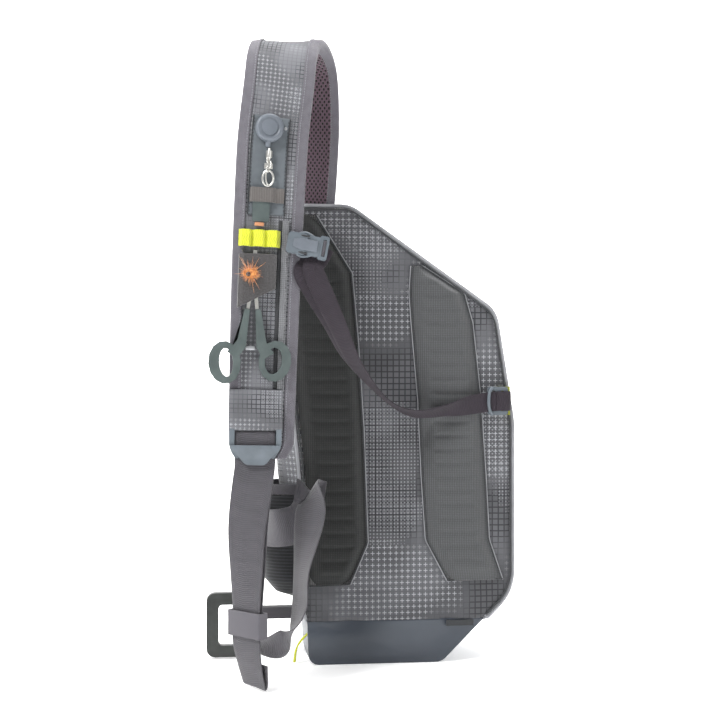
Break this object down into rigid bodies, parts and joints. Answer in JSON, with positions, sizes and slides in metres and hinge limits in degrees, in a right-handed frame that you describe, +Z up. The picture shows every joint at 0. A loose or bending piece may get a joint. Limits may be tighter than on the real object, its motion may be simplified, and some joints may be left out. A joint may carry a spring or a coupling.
{
  "type": "fishing tackle sling bag",
  "caption": "Upright one-shoulder fishing sling bag with ribbed back pads, a looped padded strap with docked angling tools, a side bottle pocket and long webbing.",
  "frame": {"origin": "centre of the flat underside of the boot, which the bag stands on", "axes": "+Z up towards the strap loop, +Y from the wearer's back panel to the front of the bag, +X to the right when looking at the back panel"},
  "size_m": [0.3183, 0.2854, 0.6293],
  "materials": {
    "ripstop": "matte printed ripstop nylon, tonal grey",
    "pad_mesh": "fine pinstriped stretch fabric, embossed in ribs",
    "lining_mesh": "open spacer mesh, mauve brown",
    "boot_fabric": "smooth coated fabric with a soft sheen",
    "webbing": "matte woven nylon webbing",
    "piping": "matte covered cord",
    "zip_tape": "satin coated zip tape",
    "yellow_tape": "bright yellow woven elastic",
    "elastic": "ribbed elastic, brown grey",
    "patch_foam": "dark fleece over foam",
    "dock_rubber": "smooth matte rubberised patch",
    "buckle_plastic": "molded acetal, blue grey",
    "black_plastic": "molded nylon, near black",
    "grip_coating": "soft-touch coating, grey green",
    "steel": "polished stainless steel",
    "jaw_orange": "copper-orange coated jaw",
    "fly_dressing": "orange dubbing and hackle",
    "bead": "dark bead"
  },
  "bodies": {
    "root": {"boot": "boot_fabric", "back_panel": "ripstop", "bag_shell": "ripstop", "main_zip": "zip_tape", "zip_slider": "buckle_plastic", "edge_piping": "piping", "hem_tab": "zip_tape", "pad_left": "pad_mesh", "pad_right": "pad_mesh", "strap_pad": "ripstop", "strap_binding_left": "webbing", "strap_binding_right": "webbing", "strap_mesh": "lining_mesh", "dock_patch": "dock_rubber", "strap_rail": "ripstop", "anchor_flap": "ripstop", "dock_elastic": "elastic", "yellow_band": "yellow_tape", "fly_patch": "patch_foam", "retractor": "black_plastic", "retractor_face": "buckle_plastic", "swivel": "steel", "clip_ring": "steel", "nipper": "grip_coating", "nipper_jaw": "jaw_orange", "forceps_steel": "steel", "forceps_ring_left": "grip_coating", "forceps_ring_right": "grip_coating", "fly_body": "fly_dressing", "fly_bead": "bead", "ladder_lock": "buckle_plastic", "bottle_pocket": "pad_mesh", "pocket_hem": "webbing", "main_webbing": "webbing", "webbing_keeper": "webbing", "loop_handle": "black_plastic", "handle_tape": "webbing", "base_pull": "yellow_tape", "buckle_socket": "buckle_plastic", "buckle_plug": "buckle_plastic", "buckle_tab": "webbing", "stabiliser_webbing": "webbing", "ladder_lock_right": "buckle_plastic", "lock_tab": "yellow_tape"}
  },
  "joints": []
}
